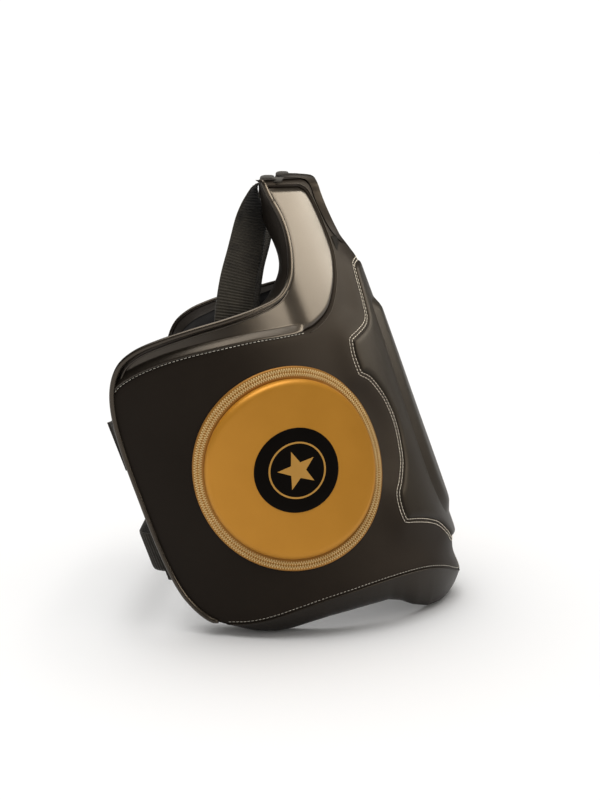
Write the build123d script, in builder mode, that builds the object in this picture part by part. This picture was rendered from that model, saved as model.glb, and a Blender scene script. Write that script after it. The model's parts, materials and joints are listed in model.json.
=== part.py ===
"""Coach's body protector for kick and knee training, standing on its own bottom rim.

Millimetres. +X is the wearer's left, -Y the front, +Z up. The origin is on the floor below the
middle of the whole object. The padded shell is one leaning cylinder with a U-shaped plan: a
station s is a distance along its outer face from the front centre, and an offset is a distance
outward from that face.
"""

import math
import os

from build123d import *

# The shell
LEAN = 20.0  # degrees that the shell leans back
FRONT_Y = -238.0  # outer face at the front centre, on the floor
PLAN_ARCS = ((170.0, 40.0), (270.0, 53.0), (430.0, 13.0))  # radius and turn, front to rear
WALL = 45.0  # padded thickness
SKIN = 1.5  # cover and lining
FRONT_END = 150.0  # station where the front panel meets a wing
WING_END = 471.0  # station of a wing's rear edge
GUSSET_TOP = 10.0
RAIL = 4.0  # piping that stands past an edge

# Heights
SHOULDER_TOP = 578.0
SHOULDER_ROOT = 500.0
NECK_Z = 552.0
NECK_R = 60.0

# Side view of a wing, as (y, z)
WING_LOW_REAR = (123.6, 0.0)
WING_TOP_REAR = (251.0, 350.2)
ARMHOLE_CORNER = (-14.5, 449.7)
CORNER_R = 45.0
WING_ROOF = 482.0  # where the wing's edge has turned into the armhole's
FRONT_BEVEL = 33.0  # height of the bevel under the front
BEVEL_DEPTH = 36.0
ARCH_Y = -80.0  # middle of the arch under each wing
ARCH_RISE = 27.0
ARCH_R = 230.0

# Raised front pads, right half of the outline as (x, z)
CHEST_PAD_RISE = 13.0
CHEST_PAD_SIDE = (
    (-40.0, 458.0),
    (-46.0, 430.0),
    (-55.0, 392.0),
    (-74.0, 382.0),
    (-109.0, 370.0),
    (-112.0, 331.0),
    (-94.0, 316.0),
    (-82.0, 282.0),
    (-82.0, 245.0),
    (-94.0, 209.0),
    (-118.0, 177.0),
    (-122.0, 139.0),
    (-106.0, 135.0),
    (-60.0, 117.0),
    (-31.0, 84.0),
)
BELLY_PAD_RISE = 7.0
BELLY_PAD_SIDE = (
    (-24.0, 414.0),
    (-34.0, 404.0),
    (-44.0, 300.0),
    (-52.0, 180.0),
    (-46.0, 126.0),
    (-22.0, 104.0),
)

LABEL = (20.0, 24.0, 1.2)
LABEL_PLACE = (-46.5, 491.5)

# Round side targets
TARGET_S = 253.0
TARGET_Z = 221.0
TARGET_R = 130.0
FACE_R = 114.0
TARGET_RISE = 13.0
FLANGE_T = 3.0
EMBLEM_R = 53.0
EMBLEM_RISE = 0.8

# Webbing, sewn-on patches and their clearances
WEB = 50.0
WEB_T = 2.0
GAP = 0.4  # clearance between bodies
LEFT_SWING = (3.0, 30.0)  # how much further in and back the left strap's free end hangs
PATCH_T = 2.0
PATCH_L = 58.0
TAB_T = 5.5
TAB_HALF = 31.0  # half the height of a belt's root tab
TAB_WIDE = 30.0

# Back belts: height of the middle at floor level of the lean, slack foot, bend and bow
BELTS = {
    "lower": {"z": 101.0, "foot": 15.0, "bend": 16.0, "bow": 4.0},
    "upper": {"z": 245.0, "foot": 2.0, "bend": 8.0, "bow": 2.0},
}
BELT_LAP = 62.0

# Right shoulder strap: centre (x, y, z) and roll of the width away from the x axis
STRAP_PATH = (
    ((-94.0, 43.4, 573.0), 0.0),
    ((-94.0, 50.0, 567.0), 2.0),
    ((-95.0, 53.0, 548.0), 22.0),
    ((-98.0, 55.0, 523.0), 46.0),
    ((-104.0, 61.0, 488.0), 58.0),
    ((-114.0, 69.0, 450.0), 66.0),
    ((-127.0, 73.0, 410.0), 72.0),
    ((-139.5, 75.0, 360.0), 76.0),
    ((-146.5, 76.0, 312.0), 78.0),
)
SHOULDER_BACK = 40.0  # the shoulder pad's flat back, as y
ANCHOR_FRONT = 14.0
ANCHOR_DROP = 24.0
FOLD_Y = 34.0
FOLD_R = 4.5
STRAP_LOOP_S = {"right": (270.0, 328.0), "left": (298.0, 356.0)}
STRAP_LOOP_Z = (286.0, 352.0)

TAN_LEAN = math.tan(math.radians(LEAN))
LEAN_DIR = (0, TAN_LEAN, 1)
SLANT = SHOULDER_TOP / math.cos(math.radians(LEAN))  # full height, along the lean
REACH = 320.0  # half the length of a cutting prism
MIDDLE_Y = 6.243  # middle of the whole object, which the origin is moved to


def walk(station):
    """Plan point and heading of the right half's outer face at a station, on the floor."""
    x, y, heading = 0.0, FRONT_Y, 180.0
    left = station
    for index, (radius, turn) in enumerate(PLAN_ARCS):
        last = index == len(PLAN_ARCS) - 1
        span = left if last else min(left, radius * math.radians(turn))
        swept = math.degrees(span / radius)
        a, b = math.radians(heading), math.radians(heading - swept)
        x -= radius * (math.sin(b) - math.sin(a))
        y += radius * (math.cos(b) - math.cos(a))
        heading -= swept
        left -= span
        if left <= 0:
            break
    return x, y, heading


def runs_between(start, end):
    """Radius and turn of each arc of the right half between two stations."""
    runs = []
    low = 0.0
    for index, (radius, turn) in enumerate(PLAN_ARCS):
        last = index == len(PLAN_ARCS) - 1
        high = math.inf if last else low + radius * math.radians(turn)
        a, b = max(start, low), min(end, high)
        if b - a > 1e-6:
            runs.append((radius, math.degrees((b - a) / radius)))
        low = high
    return runs


def outward(heading):
    """Unit vector to the left of a heading, which is outward on the right half."""
    angle = math.radians(heading + 90)
    return math.cos(angle), math.sin(angle)


def strip(start, heading, runs, left, right):
    """Plan of a strip along a path of clockwise arcs (radius, turn) and straights (length, 0)."""
    with BuildSketch() as plan:
        with BuildLine():
            ends = []
            for side in (left, right):
                out = outward(heading)
                first = Vector(start[0] + out[0] * side, start[1] + out[1] * side)
                point, angle = first, heading
                for size, turn in runs:
                    tangent = Vector(math.cos(math.radians(angle)), math.sin(math.radians(angle)))
                    if turn:
                        edge = JernArc(point, tangent, size + side, -turn)
                    else:
                        edge = Line(point, point + tangent * size)
                    point = edge @ 1
                    angle -= turn
                ends.append((first, point))
            Line(ends[0][0], ends[1][0])
            Line(ends[0][1], ends[1][1])
        make_face()
    return plan.sketch


def shell_plan(start, end, outer, inner):
    """Plan of the wall's right half between two stations and two offsets."""
    x, y, heading = walk(start)
    return strip((x, y), heading, runs_between(start, end), outer, inner)


def front_plan(end, outer, inner):
    """Plan of the wall on both sides of the front centre."""
    with BuildSketch() as plan:
        add(shell_plan(0, end, outer, inner))
        mirror(about=Plane.YZ)
    return plan.sketch


def wing_side(inset=0.0):
    """Side view of a wing, with its free edges moved in by inset."""
    far = (ARMHOLE_CORNER[0] + TAN_LEAN * 160, ARMHOLE_CORNER[1] + 160)
    with BuildSketch(Plane.YZ) as side:
        with BuildLine():
            FilletPolyline(
                (-REACH, 0),
                WING_LOW_REAR,
                WING_TOP_REAR,
                ARMHOLE_CORNER,
                far,
                radius=CORNER_R,
            )
            Polyline(far, (-REACH, far[1]), (-REACH, 0))
        make_face()
        if inset:
            offset(amount=-inset, mode=Mode.REPLACE)
    return side.sketch


def slab(low, high):
    """Cutting slab between two heights, as a side-view sketch."""
    with BuildSketch(Plane.YZ) as side:
        with Locations((0, (low + high) / 2)):
            Rectangle(4 * REACH, high - low)
    return side.sketch


def arch_side(lift):
    """Side view of the space under a wing's arched rim, raised by lift."""
    with BuildSketch(Plane.YZ) as side:
        with Locations((ARCH_Y, lift + ARCH_RISE - ARCH_R)):
            Circle(ARCH_R)
    return side.sketch


def rim_side():
    """Side view of the bottom gusset, from the floor or the arch up to its seam."""
    with BuildSketch(Plane.YZ) as side:
        with Locations((0, GUSSET_TOP / 2)):
            Rectangle(4 * REACH, GUSSET_TOP)
        with Locations((ARCH_Y, GUSSET_TOP + ARCH_RISE - ARCH_R)):
            Circle(ARCH_R)
        with Locations((0, SHOULDER_TOP / 2)):
            Rectangle(4 * REACH, SHOULDER_TOP, mode=Mode.INTERSECT)
        with Locations((ARCH_Y, ARCH_RISE - ARCH_R)):
            Circle(ARCH_R, mode=Mode.SUBTRACT)
    return side.sketch


def bevel_side():
    """Side view of the space under the front's bevel."""
    with BuildSketch(Plane.YZ) as side:
        with BuildLine():
            Polyline(
                (FRONT_Y - RAIL, -1),
                (FRONT_Y - RAIL, FRONT_BEVEL),
                (FRONT_Y + TAN_LEAN * FRONT_BEVEL, FRONT_BEVEL),
                (FRONT_Y + BEVEL_DEPTH, 0),
                (FRONT_Y + BEVEL_DEPTH, -1),
                close=True,
            )
        make_face()
    return side.sketch


def neck_front(radius):
    """Front view of the neck opening."""
    with BuildSketch(Plane.XZ) as opening:
        with Locations((0, NECK_Z)):
            Circle(radius)
        with Locations((0, NECK_Z + 50)):
            Rectangle(2 * radius, 100)
    return opening.sketch


def save(builder, name):
    """Move a finished piece to the row's origin, label it and write it."""
    with BuildPart() as placed:
        with Locations((0, -MIDDLE_Y)):
            add(builder.part)
    placed.part.label = name
    export_step(placed.part, f"parts/{name}.step")


def save_pair(builder, name):
    """Write a piece of the right half and its mirror image on the left."""
    save(builder, f"right_{name}")
    with BuildPart() as left:
        add(builder.part)
        mirror(about=Plane.YZ, mode=Mode.REPLACE)
    save(left, f"left_{name}")


os.makedirs("parts", exist_ok=True)

# Front panel: lining, foam and cover, from the gusset up to the roots of the shoulders
FRONT_LAYERS = {
    "front_lining": (-WALL + SKIN, -WALL),
    "front_foam": (-SKIN, -WALL + SKIN),
    "front_cover": (0.0, -SKIN),
}
for name, (outer, inner) in FRONT_LAYERS.items():
    with BuildPart() as front_layer:
        extrude(front_plan(FRONT_END, outer, inner), amount=SLANT, dir=LEAN_DIR)
        extrude(slab(GUSSET_TOP, SHOULDER_ROOT), amount=REACH, both=True, mode=Mode.INTERSECT)
        extrude(arch_side(GUSSET_TOP), amount=REACH, both=True, mode=Mode.SUBTRACT)
        extrude(bevel_side(), amount=REACH, both=True, mode=Mode.SUBTRACT)
        extrude(neck_front(NECK_R), amount=REACH, both=True, mode=Mode.SUBTRACT)
    save(front_layer, name)

# Shoulders: the wall goes on up to a flat back, with the neck opening between the two
SHOULDER_LAYERS = {
    "shoulder_lining": (-SKIN, -WALL, SHOULDER_BACK - SKIN, SHOULDER_BACK),
    "shoulder_foam": (-SKIN, -WALL, -REACH, SHOULDER_BACK - SKIN),
    "shoulder_cover": (0.0, -SKIN, -REACH, SHOULDER_BACK),
}
for name, (outer, inner, front_y, back_y) in SHOULDER_LAYERS.items():
    with BuildPart() as shoulder_layer:
        extrude(shell_plan(0, FRONT_END, outer, inner), amount=SLANT, dir=LEAN_DIR)
        extrude(slab(SHOULDER_ROOT, SHOULDER_TOP), amount=REACH, both=True, mode=Mode.INTERSECT)
        extrude(neck_front(NECK_R), amount=REACH, both=True, mode=Mode.SUBTRACT)
        with BuildSketch(Plane.XZ.offset(-back_y)):
            with Locations((0, SHOULDER_TOP)):
                Rectangle(4 * REACH, 4 * REACH)
        extrude(amount=back_y - front_y, mode=Mode.INTERSECT)
    save_pair(shoulder_layer, name)

# Wings: thick side panels that wrap round to the open back
WING_LAYERS = {
    "wing_lining": (-WALL + SKIN, -WALL),
    "wing_foam": (-SKIN, -WALL + SKIN),
    "wing_cover": (0.0, -SKIN),
}
for name, (outer, inner) in WING_LAYERS.items():
    with BuildPart() as wing_layer:
        extrude(shell_plan(FRONT_END, WING_END, outer, inner), amount=SLANT, dir=LEAN_DIR)
        extrude(wing_side(), amount=REACH, both=True, mode=Mode.INTERSECT)
        extrude(slab(-50, GUSSET_TOP), amount=REACH, both=True, mode=Mode.SUBTRACT)
        extrude(arch_side(GUSSET_TOP), amount=REACH, both=True, mode=Mode.SUBTRACT)
    save_pair(wing_layer, name)

# Bottom gusset: the strip of leather that closes the wall and stands on the floor
with BuildPart() as front_gusset:
    extrude(front_plan(FRONT_END, 0, -WALL), amount=SLANT, dir=LEAN_DIR)
    extrude(rim_side(), amount=REACH, both=True, mode=Mode.INTERSECT)
    extrude(bevel_side(), amount=REACH, both=True, mode=Mode.SUBTRACT)
save(front_gusset, "front_gusset")

with BuildPart() as wing_gusset:
    extrude(shell_plan(FRONT_END, WING_END, 0, -WALL), amount=SLANT, dir=LEAN_DIR)
    extrude(wing_side(), amount=REACH, both=True, mode=Mode.INTERSECT)
    extrude(rim_side(), amount=REACH, both=True, mode=Mode.INTERSECT)
save_pair(wing_gusset, "wing_gusset")

# Edge piping: a rail on the outer corner of a wing's free edge
with BuildPart() as wing_piping:
    extrude(shell_plan(FRONT_END, WING_END, RAIL, 0), amount=SLANT, dir=LEAN_DIR)
    extrude(wing_side(), amount=REACH, both=True, mode=Mode.INTERSECT)
    extrude(wing_side(2 * RAIL), amount=REACH, both=True, mode=Mode.SUBTRACT)
    extrude(slab(GUSSET_TOP, WING_ROOF), amount=REACH, both=True, mode=Mode.INTERSECT)
save_pair(wing_piping, "wing_piping")

with BuildPart() as shoulder_piping:
    extrude(shell_plan(FRONT_END - 2 * RAIL, FRONT_END, RAIL, 0), amount=SLANT, dir=LEAN_DIR)
    extrude(slab(WING_ROOF, SHOULDER_TOP), amount=REACH, both=True, mode=Mode.INTERSECT)
save_pair(shoulder_piping, "shoulder_piping")


def pad_front(side_points):
    """Front view of a pad from its right side's outline."""
    with BuildSketch(Plane.XZ) as front:
        with BuildLine():
            left_side = [(-x, z) for x, z in reversed(side_points)]
            Polyline(*side_points, *left_side, close=True)
        make_face()
    return front.sketch


# Front pads: the scalloped chest pad, and the belly pad on top of it
PAD_LAYERS = {
    "chest_pad_foam": (CHEST_PAD_SIDE, CHEST_PAD_RISE - SKIN, 0.0),
    "chest_pad_cover": (CHEST_PAD_SIDE, CHEST_PAD_RISE, CHEST_PAD_RISE - SKIN),
    "belly_pad_foam": (BELLY_PAD_SIDE, CHEST_PAD_RISE + BELLY_PAD_RISE - SKIN, CHEST_PAD_RISE),
    "belly_pad_cover": (
        BELLY_PAD_SIDE,
        CHEST_PAD_RISE + BELLY_PAD_RISE,
        CHEST_PAD_RISE + BELLY_PAD_RISE - SKIN,
    ),
}
for name, (outline, outer, inner) in PAD_LAYERS.items():
    with BuildPart() as pad_layer:
        extrude(front_plan(FRONT_END, outer, inner), amount=SLANT, dir=LEAN_DIR)
        extrude(pad_front(outline), amount=REACH, both=True, mode=Mode.INTERSECT)
    save(pad_layer, name)

# Blank label on the chest beside the neck opening
with BuildPart() as chest_label:
    extrude(front_plan(FRONT_END, LABEL[2], 0), amount=SLANT, dir=LEAN_DIR)
    with BuildSketch(Plane.XZ) as label_front:
        with Locations(LABEL_PLACE):
            Rectangle(LABEL[0], LABEL[1])
    extrude(amount=REACH, both=True, mode=Mode.INTERSECT)
save(chest_label, "chest_label")


def shell_point(station, height, offset_out=0.0):
    """Point of the right half's outer face, moved outward in plan."""
    x, y, heading = walk(station)
    out = outward(heading)
    return Vector(x + out[0] * offset_out, y + out[1] * offset_out + height * TAN_LEAN, height)


def shell_normal(station):
    """Outward normal of the leaning face at a station."""
    out = outward(walk(station)[2])
    return Vector(out[0], out[1], -out[1] * TAN_LEAN).normalized()


# Side targets: a foam puck under a stitched face, its flange ring and a round patch
TARGET_AXIS = shell_normal(TARGET_S)
TARGET_PLANE = Plane(shell_point(TARGET_S, TARGET_Z), z_dir=TARGET_AXIS)
TARGET_LAYERS = {
    "target_foam": (FACE_R, 0, TARGET_RISE - SKIN, 0.0),
    "target_face": (FACE_R, 0, TARGET_RISE, TARGET_RISE - SKIN),
    "target_ring": (TARGET_R, FACE_R, FLANGE_T, 0.0),
    "target_patch": (EMBLEM_R, 0, TARGET_RISE + EMBLEM_RISE, TARGET_RISE),
}
for name, (radius, hole, outer, inner) in TARGET_LAYERS.items():
    with BuildPart() as target_layer:
        extrude(shell_plan(0, WING_END, outer, inner), amount=SLANT, dir=LEAN_DIR)
        with BuildSketch(TARGET_PLANE):
            Circle(radius)
            if hole:
                Circle(hole, mode=Mode.SUBTRACT)
        extrude(amount=TARGET_R, both=True, mode=Mode.INTERSECT)
    save_pair(target_layer, name)


def belt_root():
    """Plan point of the belt hinge, and the heading straight back from the right rear edge."""
    x, y, heading = walk(WING_END + TAB_T + GAP + WEB_T / 2)
    out = outward(heading)
    return (x - out[0] * WALL / 3, y - out[1] * WALL / 3), heading


def belt_runs(foot, bend, bow):
    """Runs of a belt's middle line, round the back and onto the left wing."""
    root, heading = belt_root()
    across = heading - bow  # clockwise turn of the first bend
    a, b = math.radians(heading), math.radians(bow)
    start_x = root[0] + foot * math.cos(a) + bend * (math.sin(a) - math.sin(b))
    start_y = root[1] + foot * math.sin(a) + bend * (math.cos(b) - math.cos(a))
    lift = 2 * PATCH_T + GAP + WEB_T / 2
    x, y, lap_heading = walk(WING_END + foot)
    out = outward(lap_heading)
    lap_x, lap_y = -(x + out[0] * lift), y + out[1] * lift
    c = math.radians(lap_heading)
    second = (start_y - lap_y) / (math.cos(b) - math.cos(c))
    end_x = lap_x - second * (math.sin(c) - math.sin(b))
    long_radius = (end_x - start_x) / (2 * math.sin(b))
    lap_radius = PLAN_ARCS[-1][0] + lift
    return [
        (foot, 0),
        (bend, across),
        (long_radius, 2 * bow),
        (second, lap_heading - bow),
        (lap_radius, math.degrees((BELT_LAP + foot) / lap_radius)),
    ]


# Back belts: webbing hinged at the right wing's rear edge, hooked onto the left wing
for level, belt in BELTS.items():
    low = belt["z"] - WEB / 2
    high = belt["z"] + WEB / 2
    root, heading = belt_root()
    runs = belt_runs(belt["foot"], belt["bend"], belt["bow"])
    with BuildPart() as belt_webbing:
        extrude(
            strip(root, heading, runs, WEB_T / 2, -WEB_T / 2),
            amount=SLANT,
            dir=LEAN_DIR,
        )
        extrude(slab(low, high), amount=REACH, both=True, mode=Mode.INTERSECT)
    save(belt_webbing, f"{level}_belt_webbing")

    lap = {"hook": (2 * PATCH_T + GAP, PATCH_T + GAP), "loop": (PATCH_T, 0.0)}
    for kind, (outer, inner) in lap.items():
        with BuildPart() as patch:
            patch_plan = shell_plan(WING_END - PATCH_L, WING_END - 3 * RAIL, outer, inner)
            extrude(patch_plan, amount=SLANT, dir=LEAN_DIR)
            extrude(slab(low, high), amount=REACH, both=True, mode=Mode.INTERSECT)
            mirror(about=Plane.YZ, mode=Mode.REPLACE)
        save(patch, f"{level}_belt_{kind}_patch")

    with BuildPart() as belt_tab:
        tab_plan = shell_plan(WING_END, WING_END + TAB_T, -1, -1 - TAB_WIDE)
        extrude(tab_plan, amount=SLANT, dir=LEAN_DIR)
        tab_slab = slab(belt["z"] - TAB_HALF, belt["z"] + TAB_HALF)
        extrude(tab_slab, amount=REACH, both=True, mode=Mode.INTERSECT)
    save(belt_tab, f"{level}_belt_tab")

# Shoulder strap anchors: webbing sewn over the shoulder's top, with its end folded in a roll
STRAP_X = STRAP_PATH[0][0][0]
with BuildPart() as strap_anchor:
    with BuildSketch(Plane.YZ.offset(STRAP_X)) as anchor_side:
        with BuildLine():
            Polyline(
                (ANCHOR_FRONT, SHOULDER_TOP),
                (SHOULDER_BACK, SHOULDER_TOP),
                (SHOULDER_BACK, SHOULDER_TOP - ANCHOR_DROP),
                (SHOULDER_BACK + WEB_T, SHOULDER_TOP - ANCHOR_DROP),
                (SHOULDER_BACK + WEB_T, SHOULDER_TOP + WEB_T),
                (ANCHOR_FRONT, SHOULDER_TOP + WEB_T),
                close=True,
            )
        make_face()
        with Locations((FOLD_Y, SHOULDER_TOP + WEB_T + FOLD_R / 2)):
            RectangleRounded(3 * FOLD_R, 1.6 * FOLD_R, 0.7 * FOLD_R)
    extrude(amount=WEB / 2, both=True)
save_pair(strap_anchor, "strap_anchor")


def strap_path(side):
    """Centres and rolls of a shoulder strap, drawn on the right half."""
    if side == "right":
        return STRAP_PATH
    top, low = STRAP_PATH[0][0][2], STRAP_PATH[-1][0][2]
    path = []
    for (x, y, z), roll in STRAP_PATH:
        share = (top - z) / (top - low)
        path.append(((x + share * LEFT_SWING[0], y + share * LEFT_SWING[1], z), roll))
    return path


def strap_plane(path, index, lift=0.0):
    """Plane of a strap's cross-section, with x along its width, raised off its middle."""
    place, roll = path[index]
    before = Vector(*path[max(index - 1, 0)][0])
    after = Vector(*path[min(index + 1, len(path) - 1)][0])
    along = (after - before).normalized()
    level = Vector(1, 0, 0)
    wide = (level - along * level.dot(along)).normalized().rotate(Axis((0, 0, 0), along), roll)
    plane = Plane(origin=Vector(*place), x_dir=wide, z_dir=along)
    return Plane(origin=plane.origin + plane.y_dir * lift, x_dir=wide, z_dir=along)


def save_side(builder, side, name):
    """Write a piece drawn on the right half, mirrored if it belongs to the left."""
    with BuildPart() as placed:
        add(builder.part)
        if side == "left":
            mirror(about=Plane.YZ, mode=Mode.REPLACE)
    save(placed, f"{side}_{name}")


# Shoulder straps: webbing that turns from lying across the shoulder to hanging edge to edge,
# with a hook patch on the free end and a loop patch for it on the wing's lining
for side in ("right", "left"):
    path = strap_path(side)
    with BuildPart() as strap_webbing:
        for index in range(len(path)):
            with BuildSketch(strap_plane(path, index)):
                Rectangle(WEB, WEB_T)
        loft(ruled=True)
    save_side(strap_webbing, side, "strap_webbing")

    with BuildPart() as strap_patch:
        for index in (len(path) - 2, len(path) - 1):
            with BuildSketch(strap_plane(path, index, WEB_T / 2 + PATCH_T / 2)):
                Rectangle(WEB - 4, PATCH_T)
        loft(ruled=True)
    save_side(strap_patch, side, "strap_hook_patch")

    with BuildPart() as strap_loop:
        loop_plan = shell_plan(*STRAP_LOOP_S[side], -WALL, -WALL - PATCH_T)
        extrude(loop_plan, amount=SLANT, dir=LEAN_DIR)
        extrude(slab(*STRAP_LOOP_Z), amount=REACH, both=True, mode=Mode.INTERSECT)
    save_side(strap_loop, side, "strap_loop_patch")
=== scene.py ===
"""Looks of the coach's body protector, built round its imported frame.

Everything that is sewn to the shell is drawn on the shell's flat pattern: q runs round the body from
the front centre (positive to the wearer's right) and w runs up along the lean, both in millimetres.
place() wraps a point of the flat pattern onto the shell, at a height off its outer face.
"""

import json
import math

import bpy
import numpy as np
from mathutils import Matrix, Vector
from mathutils.geometry import delaunay_2d_cdt

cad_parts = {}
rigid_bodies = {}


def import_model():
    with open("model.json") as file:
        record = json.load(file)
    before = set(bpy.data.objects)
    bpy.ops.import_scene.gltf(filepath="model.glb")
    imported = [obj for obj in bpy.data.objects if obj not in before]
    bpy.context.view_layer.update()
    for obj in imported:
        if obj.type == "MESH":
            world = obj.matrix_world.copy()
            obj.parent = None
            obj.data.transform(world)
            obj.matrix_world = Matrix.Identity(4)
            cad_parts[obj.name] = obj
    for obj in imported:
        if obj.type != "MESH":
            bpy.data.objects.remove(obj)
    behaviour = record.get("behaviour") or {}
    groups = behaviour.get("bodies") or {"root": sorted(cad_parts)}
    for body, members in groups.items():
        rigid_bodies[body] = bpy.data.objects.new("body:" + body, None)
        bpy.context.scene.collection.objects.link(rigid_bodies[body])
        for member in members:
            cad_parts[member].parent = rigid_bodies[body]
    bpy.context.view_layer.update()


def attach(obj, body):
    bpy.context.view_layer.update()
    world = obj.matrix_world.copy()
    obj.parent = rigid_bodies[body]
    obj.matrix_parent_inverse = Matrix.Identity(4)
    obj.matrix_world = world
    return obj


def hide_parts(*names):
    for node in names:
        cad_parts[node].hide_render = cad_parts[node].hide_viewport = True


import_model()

MM = 0.001
LEAN = math.radians(20)
SIN, COS, TAN = math.sin(LEAN), math.cos(LEAN), math.tan(LEAN)
FRONT_Y = -238.0
MIDDLE_Y = 6.243
ARCS = ((170.0, 40.0), (270.0, 53.0), (430.0, 13.0))
WALL = 45.0
SHOULDER_BACK = 40.0
SHOULDER_FROM = 470.0  # height where the wall starts to end on the shoulder's flat back
WING_END = 471.0
SIDES = {"right": 1, "left": -1}


# ---------------------------------------------------------------- the shell's surface


def plan(s):
    """Plan of the outer face at signed stations: x, y, angle of the outward direction, side."""
    a = np.abs(np.asarray(s, float))
    x, y, b = np.zeros_like(a), np.full_like(a, FRONT_Y), np.full_like(a, math.pi / 2)
    start = 0.0
    for index, (radius, turn) in enumerate(ARCS):
        span = radius * math.radians(turn)
        used = np.clip(a - start, 0, None if index == len(ARCS) - 1 else span)
        b1 = b - used / radius
        x = x + radius * (np.cos(b1) - np.cos(b))
        y = y + radius * (np.sin(b) - np.sin(b1))
        b = b1
        start += span
    return x, y, b, np.where(np.asarray(s) >= 0, -1.0, 1.0)


S_TABLE = np.arange(-560, 560.5, 0.5)
_slope = np.gradient(plan(S_TABLE)[1], S_TABLE)
_rate = np.sqrt(np.clip(1 - (_slope * SIN) ** 2, 0.01, 1))
Q_TABLE = np.concatenate([[0], np.cumsum((_rate[1:] + _rate[:-1]) / 2 * 0.5)])
Q_TABLE -= np.interp(0, S_TABLE, Q_TABLE)


def to_station(q):
    return np.interp(q, Q_TABLE, S_TABLE)


def flat(s, z):
    """Flat-pattern point of a station and a height."""
    return float(np.interp(s, S_TABLE, Q_TABLE)), float(plan(s)[1] * SIN + z / COS)


def wrap(s, z, off):
    """Point at a station and height. Below the face off is level, above it is square to it."""
    x, y, b, side = plan(s)
    inward, out = np.minimum(off, 0.0), np.maximum(off, 0.0)
    nx, ny, nz = np.cos(b), -np.sin(b), np.sin(b) * TAN
    length = np.sqrt(nx**2 + ny**2 + nz**2)
    px = side * (x + inward * np.cos(b) + out * nx / length)
    py = y + z * TAN - inward * np.sin(b) + out * ny / length - MIDDLE_Y
    pz = z + out * nz / length
    return np.stack(np.broadcast_arrays(px, py, pz), -1) * MM


def height_of(q, w):
    return (w - plan(to_station(q))[1] * SIN) * COS


def place(q, w, off):
    q, w, off = (np.asarray(v, float) for v in (q, w, off))
    return wrap(to_station(q), height_of(q, w), off)


def face_normal(q):
    _, _, b, side = plan(to_station(np.asarray(q, float)))
    n = np.stack([side * np.cos(b), -np.sin(b), np.sin(b) * TAN], -1)
    return n / np.linalg.norm(n, axis=-1, keepdims=True)


def thickness(q, w):
    """Depth of the wall, thinner at the armhole's bend and cut short by the shoulder's flat back."""
    s = to_station(q)
    bend = np.exp(-(((np.abs(q) - 156) / 28) ** 2) - ((w - 446) / 42) ** 2)
    wall = WALL * (1 - 0.42 * bend)
    _, y, b, _ = plan(s)
    room = (SHOULDER_BACK - (y + height_of(q, w) * TAN)) / np.maximum(np.sin(b), 0.3)
    return np.where(height_of(q, w) > SHOULDER_FROM, np.minimum(np.clip(room, 5, WALL), wall), wall)


# ---------------------------------------------------------------- outlines on the flat pattern


def smooth(points, step=3.0):
    """Even samples of a Catmull-Rom curve through the points."""
    p = np.array([points[0], *points, points[-1]], float)
    p[0], p[-1] = 2 * p[1] - p[2], 2 * p[-2] - p[-3]
    t = np.linspace(0, 1, 24, endpoint=False)[:, None]
    runs = []
    for a, b, c, d in zip(p[:-3], p[1:-2], p[2:-1], p[3:]):
        runs.append(
            0.5 * (
                2 * b + (c - a) * t + (2 * a - 5 * b + 4 * c - d) * t**2 + (3 * b - a - 3 * c + d) * t**3
            )
        )
    dense = np.concatenate([*runs, p[-2:-1]])
    return even(dense, step)


def even(line, step):
    """The same polyline in even steps."""
    gaps = np.linalg.norm(np.diff(line, axis=0), axis=1)
    far = np.concatenate([[0], np.cumsum(gaps)])
    count = max(2, int(round(far[-1] / step)) + 1)
    at = np.linspace(0, far[-1], count)
    return np.stack([np.interp(at, far, line[:, k]) for k in range(line.shape[1])], 1)


def chain(*runs):
    """Curves end to end, with a corner between them."""
    lines = [smooth(run) for run in runs]
    return np.concatenate([line if k == 0 else line[1:] for k, line in enumerate(lines)])


def mirrored(line):
    return line[::-1] * [-1, 1]


def closed(half):
    """Closed outline from its right half, which starts and ends at the front centre."""
    return np.concatenate([half, mirrored(half)[1:-1]])


def side_of(line, side):
    return line if side > 0 else line * [-1, 1]


def both_sides(*lines):
    return [side_of(line, side) for line in lines for side in (1, -1)]


def tangents(line):
    """Unit directions along a polyline."""
    t = np.gradient(line, axis=0)
    return t / np.linalg.norm(t, axis=1, keepdims=True)


def to_segments(points, line, loop):
    """Distance from points to a polyline."""
    a = line
    b = np.roll(line, -1, 0)
    if not loop:
        a, b = line[:-1], line[1:]
    ab = b - a
    size = np.maximum((ab**2).sum(1), 1e-9)
    best = np.full(len(points), 1e9)
    for k in range(0, len(points), 3000):
        p = points[k : k + 3000, None, :]
        t = np.clip(((p - a) * ab).sum(2) / size, 0, 1)
        best[k : k + 3000] = np.sqrt((((a + t[..., None] * ab) - p) ** 2).sum(2)).min(1)
    return best


def inside(points, loop):
    x, y = points[:, 0], points[:, 1]
    result = np.zeros(len(points), bool)
    for (x0, y0), (x1, y1) in zip(loop, np.roll(loop, -1, 0)):
        crosses = (y0 > y) != (y1 > y)
        if abs(y1 - y0) > 1e-12:
            result ^= crosses & (x < (x1 - x0) * (y - y0) / (y1 - y0) + x0)
    return result


def left_normals(line, loop):
    """Unit normals to the left of a polyline."""
    if loop:
        t = np.roll(line, -1, 0) - np.roll(line, 1, 0)
    else:
        t = np.gradient(line, axis=0)
    t /= np.maximum(np.linalg.norm(t, axis=1, keepdims=True), 1e-9)
    return np.stack([-t[:, 1], t[:, 0]], 1)


def winding(loop):
    x, y = loop[:, 0], loop[:, 1]
    return np.sign((x * np.roll(y, -1) - np.roll(x, -1) * y).sum())


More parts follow.
